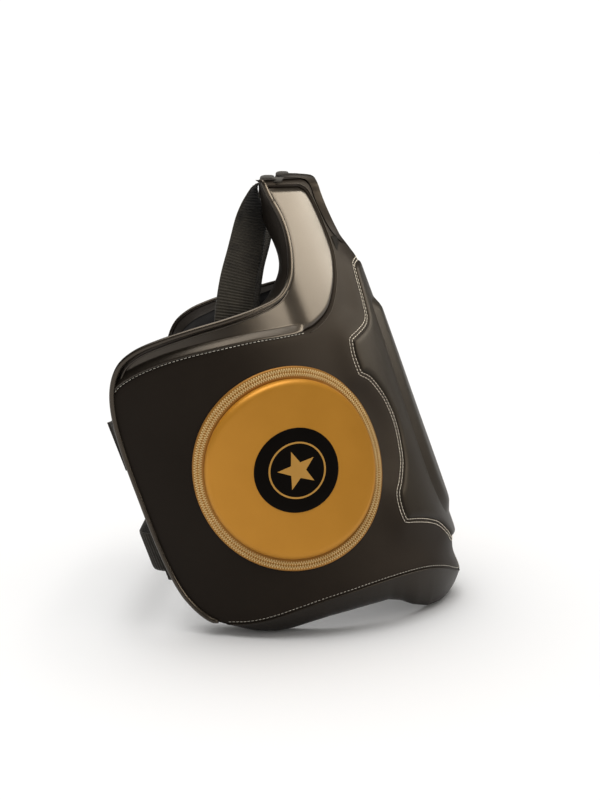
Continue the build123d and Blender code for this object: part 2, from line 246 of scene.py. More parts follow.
# Right half of the shell's edges and seams
NECK = [
    (0, 442), (12, 443.2), (24, 447.4), (36, 455), (49, 470), (58, 492), (61, 512), (60, 525),
    (66, 535.5), (78, 540.5)
]
SHOULDER_TOP = [(78, 540.5), (115, 547), (145, 553.5), (151, 555)]
FREE_EDGE = [
    (151, 555),
    (149, 533),
    (143.5, 505),
    (144, 480),
    (151, 452),
    (164, 428),
    (186, 412),
    (218, 408),
    (260, 409),
    (305, 412),
    (350, 413),
    (385, 410),
    (412, 399),
    (432, 375),
    (444, 340),
    (450, 290),
    (451.5, 230),
    (451.5, 160),
    (446.5, 110),
    (437, 80),
    (421, 56),
    (400, 42),
]
LOWER_SEAM = [
    (400, 42), (372, 35), (343, 32), (300, 31.5), (255, 29), (182, 19), (123, 5), (77, -13), (40, -32),
    (18, -41.5), (6, -44.6), (0, -45)
]
YOKE_TOP = [(149.5, 545), (118, 537), (90, 531)]
YOKE_INNER = [
    (90, 531), (78, 522), (71, 500), (67, 470), (68, 438), (80, 413), (94, 395), (118, 373), (145, 362),
    (168, 359)
]
BAND_SEAM = [
    (168, 359), (205, 366), (244, 374), (307, 383), (351, 386), (390, 384), (419, 378), (433, 371)
]
CHEST_PAD = (
    [(0, 411), (20, 411), (34, 409)],
    [(34, 409), (38, 398), (44, 372), (50, 350), (56, 339), (71, 331), (107, 324)],
    [(107, 324), (111, 305), (111, 283)],
    [
        (111, 283), (99, 273), (92, 262), (85, 247), (80, 233), (77, 208), (79, 188), (84, 170),
        (92, 149), (108, 127), (119, 115), (123, 99), (123, 81)
    ],
    [(123, 81), (104, 73), (80, 61), (57, 46), (38, 26), (24, 12), (0, 6)],
)
BELLY_PAD = (
    [(0, 362), (14, 362), (24, 360)],
    [
        (24, 360), (33, 351), (37, 320), (41, 260), (46, 180), (50, 120), (47, 85), (40, 60), (26, 42),
        (0, 34)
    ],
)


# ---------------------------------------------------------------- meshes


def ripple(q, w, scale, seed):
    """Soft unevenness of a surface, from -1 to 1."""
    a = np.sin(q / (0.31 * scale) + 1.7 * seed + 1.3 * np.sin(w / (0.43 * scale) + seed))
    b = np.sin(w / (0.27 * scale) + 2.9 * seed + 1.1 * np.sin(q / (0.37 * scale) + 2 * seed))
    c = np.sin((q + w) / (0.19 * scale) + 0.7 * seed)
    return (a + b + 0.6 * c) / 2.6


def add_object(name, data):
    obj = bpy.data.objects.new(name, data)
    bpy.context.scene.collection.objects.link(obj)
    return obj


def make(name, points, faces, material, body, replaced=(), slot=None, smooth_faces=True):
    mesh = bpy.data.meshes.new(name)
    mesh.from_pydata([tuple(p) for p in points], [], [tuple(int(i) for i in f) for f in faces])
    mesh.update()
    if smooth_faces:
        mesh.polygons.foreach_set("use_smooth", [True] * len(mesh.polygons))
    obj = add_object(name, mesh)
    mesh.materials.append(material)
    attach(obj, body)
    if replaced:
        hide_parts(*replaced)
    return obj


def panel(
    name, outline, height, material, replaced=(), slot=None, grid=6.0, rings=(1, 2.2, 3.8, 6, 8.5, 12),
    skirt=6.0, inner=False, dense=False
):
    """A piece of leather cut to an outline, raised off the shell by height(q, w, distance to edge)."""
    loop = outline if winding(outline) > 0 else outline[::-1]
    inward = left_normals(loop, True)
    extra = []
    for ring in rings:
        p = loop + inward * ring
        keep = (to_segments(p, loop, True) > 0.9 * ring) & inside(p, loop)
        p = p[keep]
        extra.append(p if dense else p[:: max(1, int(ring // 4))])
    low, high = loop.min(0), loop.max(0)
    qs, ws = np.arange(low[0] + 1, high[0], grid), np.arange(low[1] + 1, high[1], grid)
    mesh_q, mesh_w = np.meshgrid(qs, ws)
    mesh_q = mesh_q + (np.arange(len(ws)) % 2)[:, None] * grid / 2
    cells = np.stack([mesh_q.ravel(), mesh_w.ravel()], 1)
    cells = cells[inside(cells, loop)]
    cells = cells[to_segments(cells, loop, True) > rings[-1] + 0.45 * grid]
    verts = np.concatenate([loop, *extra, cells])
    edges = [(k, (k + 1) % len(loop)) for k in range(len(loop))]
    made = delaunay_2d_cdt([Vector(p) for p in verts], edges, [], 1, 1e-6)
    pts = np.array([tuple(p) for p in made[0]])
    faces = [tuple(f) for f in made[2]]
    distance = to_segments(pts, loop, True)
    off = height(pts[:, 0], pts[:, 1], distance)
    points = place(pts[:, 0], pts[:, 1], off)
    count = len(points)
    if skirt:
        index = {}
        for v, origins in enumerate(made[3]):
            for o in origins:
                if o < len(loop):
                    index[o] = v
        ring_ids = [index[k] for k in range(len(loop)) if k in index]
        low_points = place(pts[ring_ids, 0], pts[ring_ids, 1], off[ring_ids] - skirt)
        points = np.concatenate([points, low_points])
        for k, a in enumerate(ring_ids):
            k2 = (k + 1) % len(ring_ids)
            faces.append((a, count + k, count + k2, ring_ids[k2]))
    a, b, c = (points[[f[k] for f in faces[:200]]] for k in range(3))
    normal = np.cross(b - a, c - a)
    facing = (normal * face_normal(pts[[f[0] for f in faces[:200]], 0])).sum()
    if (facing < 0) != inner:
        faces = flipped(faces)
    return make(name, points, faces, material, "vest", replaced, slot)


def flipped(faces):
    return [f[::-1] for f in faces]


def grid_faces(rows, columns, wrap_columns=False):
    faces = []
    for i in range(rows - 1):
        i2 = i + 1
        for j in range(columns if wrap_columns else columns - 1):
            j2 = (j + 1) % columns
            faces.append((i * columns + j, i * columns + j2, i2 * columns + j2, i2 * columns + j))
    return faces


def plate_faces(rows, columns):
    """Faces of a grid and of a second grid behind it, turned over."""
    front = grid_faces(rows, columns)
    return front + [tuple(rows * columns + i for i in f[::-1]) for f in front]


def border_pairs(rows, columns):
    """Neighbouring points, once round the edge of a grid."""
    ring = list(range(columns))
    ring += [i * columns + columns - 1 for i in range(1, rows)]
    ring += [(rows - 1) * columns + j for j in range(columns - 2, -1, -1)]
    ring += [i * columns for i in range(rows - 2, 0, -1)]
    return zip(ring, ring[1:] + ring[:1])


def tube_arrays(line, radius, sides=8, ends=True):
    """Points and faces of a round tube along a 3-D polyline, in metres."""
    line = np.asarray(line, float)
    tangent = np.gradient(line, axis=0)
    tangent /= np.maximum(np.linalg.norm(tangent, axis=1, keepdims=True), 1e-12)
    up = np.cross(tangent[0], [0.3, 0.5, 0.81])
    up /= np.linalg.norm(up)
    radius = np.broadcast_to(radius, len(line))
    rows = []
    for p, t, r in zip(line, tangent, radius):
        up = up - t * (up @ t)
        up /= np.linalg.norm(up)
        other = np.cross(t, up)
        angles = np.arange(sides) * 2 * math.pi / sides
        rows.append(p + r * MM * (np.cos(angles)[:, None] * up + np.sin(angles)[:, None] * other))
    points = np.concatenate(rows)
    faces = grid_faces(len(line), sides, wrap_columns=True)
    if ends:
        faces += [tuple(range(sides))[::-1], tuple(range((len(line) - 1) * sides, len(line) * sides))]
    return points, faces


def joined(parts):
    points, faces, start = [], [], 0
    for p, f in parts:
        points.append(p)
        faces += [tuple(i + start for i in face) for face in f]
        start += len(p)
    return np.concatenate(points), faces


def welt(name, lines, off, radius, material, replaced=(), slot=None, sides=8):
    """Piping or a raised seam along lines of the flat pattern."""
    parts = []
    for line in lines:
        fade = np.ones(len(line))
        fade[:3] = (0.45, 0.75, 0.95)
        fade[-3:] = (0.95, 0.75, 0.45)
        parts.append(
            tube_arrays(place(line[:, 0], line[:, 1], np.full(len(line), off)), radius * fade, sides)
        )
    return make(name, *joined(parts), material, "vest", replaced, slot)


def stitches(name, lines, off, material, length=3.4, pitch=5.0, radius=0.42):
    """Separate stitches that dip into the leather at both ends, along lines of (q, w)."""
    parts = []
    for line in lines:
        gaps = np.linalg.norm(np.diff(line, axis=0), axis=1)
        far = np.concatenate([[0], np.cumsum(gaps)])
        for start in np.arange(pitch / 2, far[-1] - length, pitch):
            at = start + np.array([0, 0.18, 0.5, 0.82, 1]) * length
            q, w = np.interp(at, far, line[:, 0]), np.interp(at, far, line[:, 1])
            lift = off(q, w) + np.array([-0.5, 0.15, 0.35, 0.15, -0.5])
            parts.append(tube_arrays(place(q, w, lift), radius, 6))
    return make(name, *joined(parts), material, "vest")


# ---------------------------------------------------------------- materials


WARM = (1.0, 0.84, 0.68)


def new_material(name):
    material = bpy.data.materials.new(name)
    material.use_nodes = True
    tree = material.node_tree
    return material, tree, tree.nodes["Principled BSDF"]


def node(tree, kind, inputs=None, **settings):
    made = tree.nodes.new(kind)
    for key, value in settings.items():
        setattr(made, key, value)
    for key, value in (inputs or {}).items():
        made.inputs[key].default_value = value
    return made


def ramp(tree, factor, stops):
    made = tree.nodes.new("ShaderNodeValToRGB")
    elements = made.color_ramp.elements
    for element, (at, colour) in zip(elements, (stops[0], stops[-1])):
        element.position, element.color = at, (*colour, 1)
    for at, colour in stops[1:-1]:
        elements.new(at).color = (*colour, 1)
    tree.links.new(factor, made.inputs["Fac"])
    return made.outputs["Color"]


def leather(
    name, dark, light, rough, spread, grain, bump, specular=0.5, coat=0.0, metallic=0.0, tint=WARM
):
    """Coated leather: uneven colour and gloss, pebble grain with fine creases between the pebbles."""
    material, tree, shader = new_material(name)
    link = tree.links.new
    where = node(tree, "ShaderNodeTexCoord").outputs["Object"]
    broad = node(tree, "ShaderNodeTexNoise", {"Scale": 9.0, "Detail": 5.0, "Roughness": 0.55})
    fine = node(tree, "ShaderNodeTexNoise", {"Scale": grain * 1.9, "Detail": 4.0, "Roughness": 0.6})
    pebble = node(tree, "ShaderNodeTexVoronoi", {"Scale": grain, "Randomness": 0.9}, feature="F1")
    for texture in (broad, fine, pebble):
        link(where, texture.inputs["Vector"])
    link(ramp(tree, broad.outputs["Fac"], ((0.3, dark), (0.7, light))), shader.inputs["Base Color"])
    gloss = node(
        tree, "ShaderNodeMapRange",
        {"From Min": 0.3, "From Max": 0.7, "To Min": rough - spread, "To Max": rough + spread}
    )
    link(broad.outputs["Fac"], gloss.inputs["Value"])
    link(gloss.outputs["Result"], shader.inputs["Roughness"])
    mixed = node(tree, "ShaderNodeMath", {1: 0.5}, operation="MULTIPLY_ADD")
    link(pebble.outputs["Distance"], mixed.inputs[0])
    link(fine.outputs["Fac"], mixed.inputs[2])
    raised = node(tree, "ShaderNodeBump", {"Strength": bump, "Distance": 0.0004})
    link(mixed.outputs["Value"], raised.inputs["Height"])
    link(raised.outputs["Normal"], shader.inputs["Normal"])
    shader.inputs["Specular IOR Level"].default_value = specular
    shader.inputs["Specular Tint"].default_value = (*tint, 1)
    shader.inputs["Coat Weight"].default_value = coat
    shader.inputs["Coat Roughness"].default_value = 0.22
    shader.inputs["Metallic"].default_value = metallic
    return material


def woven(name, dark, light, pitch, bump, rough=0.85, sheen=0.2):
    """Woven cloth or webbing: two crossing sets of yarns, coloured lighter where the yarns are raised (a
    painted highlight on the yarn tops), with uneven tone.
    """
    material, tree, shader = new_material(name)
    link = tree.links.new
    where = node(tree, "ShaderNodeTexCoord").outputs["Object"]
    bands = []
    for direction in ("Z", "DIAGONAL"):
        wave = node(
            tree, "ShaderNodeTexWave", {"Scale": 3.1416 / pitch / 10, "Distortion": 0.4, "Detail": 1.0},
            wave_type="BANDS", bands_direction=direction
        )
        link(where, wave.inputs["Vector"])
        bands.append(wave.outputs["Fac"])
    mixed = node(tree, "ShaderNodeMath", operation="MULTIPLY")
    link(bands[0], mixed.inputs[0])
    link(bands[1], mixed.inputs[1])
    noise = node(tree, "ShaderNodeTexNoise", {"Scale": 60.0, "Detail": 6.0})
    link(where, noise.inputs["Vector"])
    both = node(tree, "ShaderNodeMath", {1: 0.6}, operation="MULTIPLY_ADD")
    link(mixed.outputs["Value"], both.inputs[0])
    link(noise.outputs["Fac"], both.inputs[2])
    # Colour follows the yarn height that also drives the bump, plus random noise: painted highlight on the
    # raised yarn tops and painted shade in the hollows between them, over uneven tone
    link(ramp(tree, both.outputs["Value"], ((0.3, dark), (0.95, light))), shader.inputs["Base Color"])
    raised = node(tree, "ShaderNodeBump", {"Strength": bump, "Distance": 0.0005})
    link(both.outputs["Value"], raised.inputs["Height"])
    link(raised.outputs["Normal"], shader.inputs["Normal"])
    shader.inputs["Roughness"].default_value = rough
    shader.inputs["Specular IOR Level"].default_value = 0.25
    shader.inputs["Sheen Weight"].default_value = sheen
    shader.inputs["Sheen Roughness"].default_value = 0.5
    return material


MATTE = leather(
    "matte_leather", (0.0068, 0.0050, 0.0039), (0.0098, 0.0074, 0.0059), 0.52, 0.05, 850, 0.22,
    specular=0.12
)
GLOSS = leather(
    "gloss_leather", (0.007, 0.0055, 0.0042), (0.011, 0.009, 0.007), 0.33, 0.05, 900, 0.14, specular=0.58,
    coat=0.25
)
PAD = leather(
    "pad_leather", (0.007, 0.0055, 0.0042), (0.011, 0.009, 0.007), 0.42, 0.04, 900, 0.14, specular=0.15
)
EDGE = leather(
    "edge_leather", (0.0055, 0.0043, 0.0034), (0.010, 0.008, 0.0065), 0.42, 0.06, 800, 0.25, specular=0.24
)
PIPE = leather(
    "piping_leather", (0.008, 0.0065, 0.005), (0.013, 0.011, 0.009), 0.26, 0.04, 800, 0.20, specular=0.62
)
GOLD = leather(
    "gold_leather", (0.46, 0.200, 0.0190), (0.52, 0.232, 0.0250), 0.40, 0.03, 1100, 0.10, specular=0.4,
    metallic=0.35
)
RING = leather(
    "ring_leather", (0.30, 0.135, 0.024), (0.38, 0.175, 0.034), 0.42, 0.05, 900, 0.25, specular=0.45,
    metallic=0.4
)
PATCH = leather(
    "patch_leather", (0.0016, 0.0013, 0.0012), (0.0032, 0.0026, 0.0024), 0.45, 0.05, 900, 0.12,
    specular=0.06
)
PRINT = leather(
    "gold_print", (0.42, 0.215, 0.040), (0.52, 0.275, 0.060), 0.45, 0.05, 900, 0.2, specular=0.4,
    metallic=0.3
)
TAG = leather(
    "label_weave", (0.0012, 0.0012, 0.0012), (0.0030, 0.0029, 0.0028), 0.6, 0.05, 1400, 0.3, specular=0.08
)
LINING = woven(
    "nylon_lining", (0.008, 0.008, 0.009), (0.024, 0.023, 0.024), 0.0016, 0.35, 0.8, sheen=0.15
)
WEBBING = woven("webbing", (0.007, 0.0055, 0.004), (0.030, 0.025, 0.018), 0.0012, 0.5, 0.75)
VELOUR = woven("loop_tape", (0.004, 0.004, 0.004), (0.016, 0.016, 0.016), 0.0007, 0.9, 0.95, sheen=0.5)
THREAD = woven("cream_thread", (0.42, 0.38, 0.32), (0.68, 0.62, 0.53), 0.0005, 0.3, 0.6)
GREY_THREAD = woven("grey_thread", (0.16, 0.15, 0.13), (0.36, 0.34, 0.30), 0.0005, 0.3, 0.6)
GOLD_THREAD = woven("gold_thread", (0.62, 0.43, 0.16), (0.88, 0.68, 0.34), 0.0005, 0.3, 0.5)


# ---------------------------------------------------------------- shell cover, yokes and pads

neck = smooth(NECK)
shoulder_top = smooth(SHOULDER_TOP)
free_edge = smooth(FREE_EDGE)
lower_seam = smooth(LOWER_SEAM)
yoke_inner = chain(YOKE_TOP, YOKE_INNER, BAND_SEAM)
chest_pad = closed(chain(*CHEST_PAD))
belly_pad = closed(chain(*BELLY_PAD))


def split_at(line, point):
    """A polyline's two parts on either side of its nearest sample to a point."""
    k = int(np.argmin(((line - point) ** 2).sum(1)))
    return line[: k + 1], line[k:]


upper_edge, rear_edge = split_at(free_edge, BAND_SEAM[-1])
_, yoke_edge = split_at(upper_edge, YOKE_TOP[0])
top_stub = upper_edge[: len(upper_edge) - len(yoke_edge) + 1]
body_half = np.concatenate(
    [neck, shoulder_top[1:], top_stub[1:], yoke_inner[:-1], rear_edge, lower_seam[1:]]
)
body_loop = closed(body_half)
yoke_loop = np.concatenate([yoke_inner[:-1], yoke_edge[::-1][:-1]])
rim_half = np.concatenate([neck, shoulder_top[1:], free_edge[1:], lower_seam[1:]])
rim_loop = closed(rim_half)

yoke_lines = both_sides(yoke_inner)
outer_lines = both_sides(np.concatenate([neck, shoulder_top[1:]]))


def nearest(q, w, lines):
    points = np.stack([q, w], 1)
    return np.min([to_segments(points, line, False) for line in lines], 0)


def rounded(distance, radius):
    """How far a surface has dropped at a distance from a rounded edge of that radius."""
    left = np.clip(1 - distance / radius, 0, 1)
    return radius * (1 - np.sqrt(1 - left**2))


SWELL = 9.5  # how far the front panel swells up to the chest pad's seam


def front_swell(q, w):
    points = np.stack([np.atleast_1d(q), np.atleast_1d(w)], 1)
    away = np.where(inside(points, chest_pad), 0.0, to_segments(points, chest_pad, True))
    return SWELL * np.exp(-((away / 24.0) ** 2)) * np.clip((np.atleast_1d(w) + 20) / 40, 0, 1)


def shell_height(q, w, distance):
    seam = nearest(q, w, yoke_lines)
    turned = nearest(q, w, outer_lines)
    puff = 0.6 * ripple(q, w, 210, 1.0) + 0.25 * ripple(q, w, 70, 2.0)
    edges = 1.8 * np.exp(-seam / 2.0) + 1.4 * np.exp(-distance / 2.5) + rounded(turned, 7.0)
    return puff + front_swell(q, w) - edges


def band_share(q):
    """0 on the shoulder, 1 on the band along the wing's top."""
    t = np.clip((np.abs(q) - 150) / 34, 0, 1)
    return t * t * (3 - 2 * t)


def yoke_height(q, w, distance):
    inner = nearest(q, w, yoke_lines)
    pillow = 1.0 - 0.95 * rounded(distance, 8.0)
    start = np.clip((np.abs(q) - 166) / 5, 0, 1)
    bevel = np.clip((10.0 - inner) / 8.5, 0, 1)
    low = -7.0 + 6.5 * bevel**0.85 * start
    low = low - 1.5 * np.exp(-np.maximum(distance, 0) / 2.0) * (inner > 12)
    share = band_share(q)
    wave = 0.28 * ripple(q, w, 140, 3.0)
    return pillow * (1 - share) + low * share + wave * (1 - 0.5 * share)


CHEST_RISE, BELLY_RISE = 13.0, 7.0


def chest_height(q, w, distance):
    wave = 0.4 * ripple(q, w, 150, 4.0) + 0.1 * ripple(q, w, 45, 1.0)
    edge = np.clip(1 - distance / 8.0, 0, 1)
    base = front_swell(q, w) - 0.4
    return base + (CHEST_RISE - base) * np.sqrt(1 - edge**2) + wave * np.clip(distance / 8, 0, 1)


def belly_height(q, w, distance):
    t = np.clip((distance + 1.0) / 26, 0, 1)
    wave = 0.3 * ripple(q, w, 130, 6.0)
    return CHEST_RISE - 0.6 + (BELLY_RISE + 0.4) * t * t * (3 - 2 * t) + wave * np.clip(
        distance / 12, 0, 1
    )


shell = panel(
    "shell_cover",
    body_loop,
    shell_height,
    MATTE,
    [
        "front_foam", "front_cover", "right_wing_foam", "right_wing_cover", "left_wing_foam",
        "left_wing_cover"
    ],
    "black_leather",
    grid=8.0,
)
for side_name, side in SIDES.items():
    yoke = panel(
        f"{side_name}_yoke",
        side_of(yoke_loop, side),
        yoke_height,
        GLOSS,
        [f"{side_name}_shoulder_foam", f"{side_name}_shoulder_cover"],
        "gloss_leather",
        grid=4.5,
        rings=(0.8, 1.8, 3.2, 5, 7, 9, 10.2, 11.5, 14),
        dense=True,
    )
chest = panel(
    "chest_pad", chest_pad, chest_height, PAD, ["chest_pad_foam", "chest_pad_cover"], "gloss_leather",
    grid=5.0
)
belly = panel(
    "belly_pad", belly_pad, belly_height, PAD, ["belly_pad_foam", "belly_pad_cover"], "gloss_leather",
    grid=5.0
)


# ---------------------------------------------------------------- edges, gusset and lining

RIM_AT = np.array([0, 60, 100, 130, 151, 173, 208, 230, 275, 299, 335, 359, 600.0])
RIM_Z = np.array([0.6, 2, 6, 14, 24, 29, 27, 25, 19, 14, 5, 0.6, 0.6])

rim_out = left_normals(rim_loop, True)
if winding(rim_loop) > 0:
    rim_out = -rim_out
rim_q, rim_w = rim_loop[:, 0], rim_loop[:, 1]
rim_z = height_of(rim_q, rim_w)
rim_s = to_station(rim_q)
in_seam = np.clip((415 - np.abs(rim_q)) / 30, 0, 1) * (rim_w < 90)
on_wing = np.clip((np.abs(rim_q) - 165) / 40, 0, 1) * np.clip((rim_w - 90) / 60, 0, 1)


def smoothed(values, width=9):
    """The same loop of values, averaged over its neighbours."""
    padded_values = np.concatenate([values[-width:], values, values[:width]])
    return np.convolve(padded_values, np.ones(width) / width, "same")[width:-width]


in_seam, on_wing = smoothed(in_seam), smoothed(on_wing)
inset = 1.0 + 10.0 * on_wing
depth = thickness(rim_q, rim_w)
floor_z = np.interp(np.abs(rim_s), RIM_AT, RIM_Z)
ACROSS = 13
rows = []
for u in np.linspace(0, 1, ACROSS):
    swell = 2.2 * math.sin(math.pi * u) ** 0.7 if 0 < u < 1 else 0.0
    q = rim_q + rim_out[:, 0] * (swell - inset * u)
    w = rim_w + rim_out[:, 1] * (swell - inset * u)
    edge = place(q, w, -6.5 * (1 - u) * 0.2 - depth * u)
    fall = min(1.0, u / 0.75)
    pucker = 1.3 * math.sin(math.pi * fall) * ripple(rim_q, rim_q * 0, 60, 3.0)
    bulge = 3.5 * math.sin(math.pi * fall)
    z = rim_z + (floor_z - rim_z) * (0.35 * fall + 0.65 * math.sin(fall * math.pi / 2))
    under = wrap(rim_s, np.maximum(z - 0.3 * bulge, 0.4), -WALL * u + pucker)
    rows.append(edge * (1 - in_seam[:, None]) + under * in_seam[:, None])
edge_points = np.concatenate(rows)
edge_faces = flipped(grid_faces(ACROSS, len(rim_loop), wrap_columns=True))
edge_wall = make(
    "edge_wall", edge_points, edge_faces, EDGE, "vest",
    ["front_gusset", "right_wing_gusset", "left_wing_gusset"], "black_leather"
)

lining_q = rim_q - rim_out[:, 0] * inset
lining_w = rim_w - rim_out[:, 1] * inset
low_w = plan(rim_s)[1] * SIN + floor_z / COS
lining_w = lining_w * (1 - in_seam) + low_w * in_seam
lining_q = lining_q * (1 - in_seam) + rim_q * in_seam
lining_loop = np.stack([lining_q, lining_w], 1)


def lining_height(q, w, distance):
    wave = 0.8 * ripple(q, w, 150, 7.0) * np.clip(distance / 8, 0, 1)
    return -thickness(q, w) + wave + 1.2 * np.exp(-distance / 4)


panel(
    "lining",
    lining_loop,
    lining_height,
    LINING,
    [
        "front_lining", "right_wing_lining", "left_wing_lining", "right_shoulder_lining",
        "left_shoulder_lining"
    ],
    "lining_fabric",
    grid=9.0,
    rings=(2, 5, 9),
    skirt=0,
    inner=True,
)

for side_name, side in SIDES.items():
    edge_line = side_of(free_edge[:-4], side)
    short, rest = edge_line[: len(top_stub) + 8], edge_line[len(top_stub) + 4 :]
    welt(
        f"{side_name}_wing_piping", [rest], 0.0, 3.6, PIPE, [f"{side_name}_wing_piping"], "black_leather",
        10
    )
    welt(
        f"{side_name}_shoulder_piping", [short], 0.0, 3.3, PIPE, [f"{side_name}_shoulder_piping"],
        "black_leather", 10
    )

half = len(yoke_inner)
inner_out = left_normals(yoke_inner, False)
moved = yoke_inner + inner_out * 3
if nearest(*moved[20:21].T, [free_edge])[0] < nearest(*yoke_inner[20:21].T, [free_edge])[0]:
    inner_out = -inner_out
shoulder_part = yoke_inner[6 : int(half * 0.52)] + inner_out[6 : int(half * 0.52)] * 4.0
rear_welt = free_edge[len(yoke_edge) // 3 : -4]
rear_in = left_normals(free_edge, False)[len(yoke_edge) // 3 : -4]
if not inside((rear_welt + rear_in * 4)[30:31], rim_loop)[0]:
    rear_in = -rear_in
welt(
    "seam_welts",
    both_sides(shoulder_part, lower_seam[:-1]),
    -0.2,
    0.9,
    EDGE,
    slot="black_leather",
    sides=6,
)
band_welt = rear_welt + rear_in * 7.0
welt("band_welts", both_sides(band_welt), -4.6, 1.3, GLOSS, slot="black_leather", sides=6)


# ---------------------------------------------------------------- stitching


def offset_line(line, amount, toward):
    normals = left_normals(line, False)
    middle = len(line) // 2
    ahead, behind = (line[middle] + sign * normals[middle] - toward for sign in (1, -1))
    if (ahead**2).sum() > (behind**2).sum():
        normals = -normals
    return line + normals * amount


band_line = smooth(BAND_SEAM, 2.0)
dotted = offset_line(band_line, 1.2, np.array([300.0, 200.0]))
seam_line = offset_line(smooth(LOWER_SEAM, 2.0), 4.0, np.array([200.0, 300.0]))
pad_half = chain(*CHEST_PAD)
pad_half = pad_half[1:]
first_line = offset_line(pad_half, -1.6, np.array([0.0, 230.0]))
second_line = offset_line(pad_half, -6.0, np.array([0.0, 230.0]))


def on_shell(q, w):
    return np.full(len(q), -0.6)


def on_cover(q, w):
    return front_swell(q, w) + 0.25


stitches("band_stitches", both_sides(dotted), on_shell, GREY_THREAD, 3.0, 5.2, 0.45)
stitches("seam_stitches", both_sides(seam_line), on_cover, GREY_THREAD, 3.0, 5.0, 0.32)
stitches("pad_stitches", both_sides(first_line, second_line), on_cover, THREAD, 3.6, 4.9, 0.32)


# ---------------------------------------------------------------- side targets

TARGET_Q, TARGET_W = flat(253.0, 221.0)
TARGET_R, FACE_R, EMBLEM_R = 130.0, 114.0, 53.0
TARGET_RISE, FLANGE_T, EMBLEM_RISE = 13.0, 3.0, 0.8


def on_target(side, r, a, lift):
    """Points round a target's middle, from their radii, angles and heights."""
    return place(side * (TARGET_Q + r * np.cos(a)), TARGET_W + r * np.sin(a), lift)


def disc(name, side, profile, material, replaced, slot, count=192):
    """A round piece on a wing from its profile of (radius, height) points."""
    angles = np.arange(count) * 2 * math.pi / count
    parts = []
    for r, h in profile:
        q = TARGET_Q + r * np.cos(angles)
        w = TARGET_W + r * np.sin(angles)
        wave = 0.25 * ripple(q, w, 160, 8.0) if h > FLANGE_T else 0
        parts.append(place(side * q, w, h + wave))
    points = np.concatenate(parts)
    faces = grid_faces(len(profile), count, wrap_columns=True)
    if side > 0:
        faces = flipped(faces)
    return make(name, points, faces, material, "vest", replaced, slot)


def arc(r0, h0, radius, start, end, count=7):
    return [
        (r0 + radius * math.cos(math.radians(a)), h0 + radius * math.sin(math.radians(a)))
        for a in np.linspace(start, end, count)
    ]


ROUND = 9.5  # radius of the face's rounded edge
STAR_OUT, STAR_IN = 25.0, 10.2
PRINT_IN, PRINT_OUT = 33.4, 35.6  # radii of the thin printed ring
ZIGZAG_PERIODS, ZIGZAG_THREAD = 235, 0.36
face_profile = [
    (r, TARGET_RISE - 0.5 + 0.5 * math.cos(r / FACE_R * math.pi / 2))
    for r in (0.01, 8, 20, 32, 44, 56, 68, 80, 90, 98)
]
face_profile += arc(FACE_R - ROUND, TARGET_RISE - 0.5 - ROUND, ROUND, 90, 0, 11)
face_profile += [(FACE_R - 0.5, 2.4), (FACE_R - 1.2, 1.4)]
ring_profile = [
    (FACE_R - 2.5, 0.5), (FACE_R - 0.8, 1.6), (FACE_R + 1.2, 2.5), (FACE_R + 3, 2.9), (FACE_R + 5.5, 3.0)
]
ring_profile += [
    (FACE_R + 7.4, 2.9), (FACE_R + 8.1, 2.6), (FACE_R + 8.8, 2.9), (FACE_R + 10.5, 3.0),
    (FACE_R + 13.2, 2.9)
]
ring_profile += [(TARGET_R - 1.4, 2.6), (TARGET_R - 0.4, 1.8), (TARGET_R, 0.6), (TARGET_R, -1.0)]
patch_profile = [(r, TARGET_RISE + EMBLEM_RISE) for r in (0.01, 10, 22, 34, 44, EMBLEM_R - 1.2)]
patch_profile += [
    (EMBLEM_R - 0.5, TARGET_RISE + EMBLEM_RISE - 0.1), (EMBLEM_R, TARGET_RISE + 0.3),
    (EMBLEM_R, TARGET_RISE - 1)
]


def star(side):
    """Plain five-pointed star inside a thin ring, printed on the patch."""
    top = TARGET_RISE + EMBLEM_RISE + 0.25
    parts = []
    corners = []
    for k in range(10):
        r = STAR_OUT if k % 2 == 0 else STAR_IN
        a = math.pi / 2 + k * math.pi / 5
        corners.append((r * math.cos(a), r * math.sin(a)))
    points = zip(corners, corners[1:] + corners[:1])
    rim = np.concatenate([even(np.array(pair), 2.0)[:-1] for pair in points])
    shrink = np.linspace(0, 1, 8)[:, None, None]
    web = rim[None] * shrink
    heights = np.full(web.shape[:2], top)
    web = np.concatenate([web, web[-1:]])
    heights = np.concatenate([heights, heights[-1:] - 0.6])
    flat_points = web.reshape(-1, 2)
    p = place(side * (TARGET_Q + flat_points[:, 0]), TARGET_W + flat_points[:, 1], heights.ravel())
    parts.append((p, grid_faces(len(web), len(rim), wrap_columns=True)))
    a = np.arange(120) * 2 * math.pi / 120
    band = [(PRINT_IN, top - 0.6), (PRINT_IN, top), (34.6, top), (PRINT_OUT, top), (PRINT_OUT, top - 0.6)]
    p = np.concatenate([on_target(side, r, a, np.full(len(a), h)) for r, h in band])
    parts.append((p, grid_faces(len(band), len(a), wrap_columns=True)))
    points, faces = joined(parts)
    if side > 0:
        faces = flipped(faces)
    return points, faces


def zigzag(side, low, high):
    """One row of zigzag stitching round a target's flange, from radius low to radius high."""
    a = np.arange(ZIGZAG_PERIODS * 2 + 1) * math.pi / ZIGZAG_PERIODS
    r = np.where(np.arange(len(a)) % 2 == 0, low, high)
    parts = []
    for k in range(len(a) - 1):
        t = np.array([0, 0.15, 0.5, 0.85, 1])
        aa, rr = a[k] + (a[k + 1] - a[k]) * t, r[k] + (r[k + 1] - r[k]) * t
        lift = 3.05 + np.array([-0.5, 0.1, 0.25, 0.1, -0.5])
        parts.append(tube_arrays(on_target(side, rr, aa, lift), ZIGZAG_THREAD, 5, False))
    return joined(parts)


